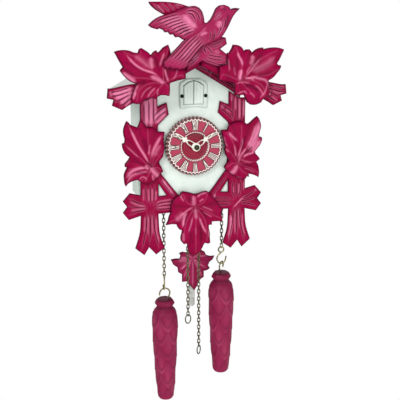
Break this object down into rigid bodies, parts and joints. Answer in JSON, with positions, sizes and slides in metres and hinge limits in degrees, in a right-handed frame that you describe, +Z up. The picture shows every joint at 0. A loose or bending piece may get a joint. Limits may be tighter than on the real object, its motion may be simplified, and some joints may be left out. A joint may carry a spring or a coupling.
{
  "type": "cuckoo clock",
  "caption": "Wall cuckoo clock with a gabled case, carved leaves and bird, round dial with two hands, small arched doors, swinging pendulum, chains and cone-shaped weights.",
  "frame": {"origin": "on the wall plane at the rear face of the back panel, on the axis of the hands", "axes": "+Y towards the wall, so the dial faces -Y; +Z up; +X to the right as seen from the front"},
  "size_m": [0.163, 0.1078, 0.3842],
  "materials": {
    "white_paint": "pale mint-white satin paint over wood",
    "cerise_stain": "satin cerise stain over carved wood, darker in the cuts",
    "roof_paint": "pale grey satin paint over wood",
    "dial_print": "satin cerise with white raised ring",
    "hand_white": "ivory white",
    "aged_brass": "dull olive brass",
    "steel": "plain satin",
    "black_plastic": "fine moulded texture",
    "cell_jacket": "printed jacket, left plain",
    "speaker_black": "matte",
    "pendulum_metal": "satin",
    "cone_plastic": "satin cerise",
    "bird_paint": "satin paint"
  },
  "bodies": {
    "case": {"front_panel": "white_paint", "side_left": "white_paint", "side_right": "white_paint", "back_panel": "white_paint", "floor_board": "white_paint", "door_surround": "white_paint", "roof_left": "roof_paint", "roof_right": "roof_paint", "gable_trim_left": "cerise_stain", "gable_trim_right": "cerise_stain", "side_frame_left": "cerise_stain", "side_frame_right": "cerise_stain", "leaf_middle_left": "cerise_stain", "leaf_middle_right": "cerise_stain", "leaf_top_left": "cerise_stain", "leaf_top_right": "cerise_stain", "leaf_bottom": "cerise_stain", "roof_twig_left": "cerise_stain", "roof_twig_right": "cerise_stain", "perch": "cerise_stain", "bird_body": "cerise_stain", "bird_wing_near": "cerise_stain", "bird_wing_far": "cerise_stain", "dial_plate": "dial_print", "dial_ring": "dial_print", "chain_bar": "aged_brass", "pendulum_pin": "aged_brass", "hanger_plate": "steel", "cuckoo_rail": "steel", "cuckoo_motor": "steel", "movement_case": "black_plastic", "battery_tray": "black_plastic", "cell_lower": "cell_jacket", "cell_upper": "cell_jacket", "speaker": "speaker_black"},
    "minute": {"minute_hand": "hand_white", "hand_nut": "aged_brass"},
    "hour": {"hour_hand": "hand_white"},
    "knob": {"setting_knob": "black_plastic"},
    "cuckoo": {"cuckoo_carriage": "hand_white", "cuckoo_bird": "bird_paint"},
    "door_l": {"door_left": "white_paint"},
    "door_r": {"door_right": "white_paint"},
    "battery_cover": {"battery_door": "black_plastic"},
    "switch": {"chime_switch": "black_plastic"},
    "pendulum": {"pendulum_rod": "pendulum_metal", "pendulum_leaf": "cerise_stain"},
    "weight_l": {"chain_left_weight": "aged_brass", "hook_left": "aged_brass", "weight_left_eye": "aged_brass", "weight_left": "cone_plastic"},
    "pull_l": {"chain_left_pull": "aged_brass", "pull_ring_left": "aged_brass"},
    "pull_r": {"chain_right_pull": "aged_brass", "pull_ring_right": "aged_brass"},
    "weight_r": {"chain_right_weight": "aged_brass", "hook_right": "aged_brass", "weight_right_eye": "aged_brass", "weight_right": "cone_plastic"}
  },
  "joints": [
    {"name": "minute_turn", "type": "hinge", "parent": "case", "child": "minute", "pos_m": [0, -0.079, 0], "axis": [0, 1, 0], "continuous": true},
    {"name": "hour_turn", "type": "hinge", "parent": "case", "child": "hour", "pos_m": [0, -0.077, 0], "axis": [0, 1, 0], "continuous": true},
    {"name": "knob_turn", "type": "hinge", "parent": "case", "child": "knob", "pos_m": [-0.014, -0.038, -0.014], "axis": [0, 1, 0], "continuous": true},
    {"name": "cuckoo_slide", "type": "slide", "parent": "case", "child": "cuckoo", "axis": [0, -1, 0], "range_m": [0, 0.026]},
    {"name": "door_left_swing", "type": "hinge", "parent": "case", "child": "door_l", "pos_m": [-0.0092, -0.0705, 0.046], "axis": [0, 0, 1], "range_deg": [-106, 0]},
    {"name": "door_right_swing", "type": "hinge", "parent": "case", "child": "door_r", "pos_m": [0.0092, -0.0705, 0.046], "axis": [0, 0, 1], "range_deg": [0, 106]},
    {"name": "battery_door_swing", "type": "hinge", "parent": "case", "child": "battery_cover", "pos_m": [-0.0296, -0.0001, 0.02], "axis": [0, 0, 1], "range_deg": [0, 100]},
    {"name": "chime_switch_slide", "type": "slide", "parent": "case", "child": "switch", "axis": [0, 1, 0], "range_m": [-0.004, 0.004]},
    {"name": "pendulum_swing", "type": "hinge", "parent": "case", "child": "pendulum", "pos_m": [0.0065, -0.038, -0.028], "axis": [0, 1, 0], "range_deg": [-5, 5]},
    {"name": "weight_left_swing", "type": "hinge", "parent": "case", "child": "weight_l", "pos_m": [-0.0266, -0.058, -0.046], "axis": [1, 0, 0], "range_deg": [-6, 1]},
    {"name": "pull_left_swing", "type": "hinge", "parent": "case", "child": "pull_l", "pos_m": [-0.003, -0.058, -0.046], "axis": [1, 0, 0], "range_deg": [-6, 1]},
    {"name": "pull_right_swing", "type": "hinge", "parent": "case", "child": "pull_r", "pos_m": [0.008, -0.058, -0.046], "axis": [1, 0, 0], "range_deg": [-6, 1]},
    {"name": "weight_right_swing", "type": "hinge", "parent": "case", "child": "weight_r", "pos_m": [0.0312, -0.058, -0.046], "axis": [1, 0, 0], "range_deg": [-6, 1]}
  ],
  "couplings": [
    {"joint": "hour_turn", "follows": "minute_turn", "ratio": 0.083333},
    {"joint": "knob_turn", "follows": "minute_turn", "ratio": -1},
    {"joint": "door_left_swing", "follows": "cuckoo_slide", "rad_per_m": -70.484},
    {"joint": "door_right_swing", "follows": "cuckoo_slide", "rad_per_m": 70.484}
  ]
}
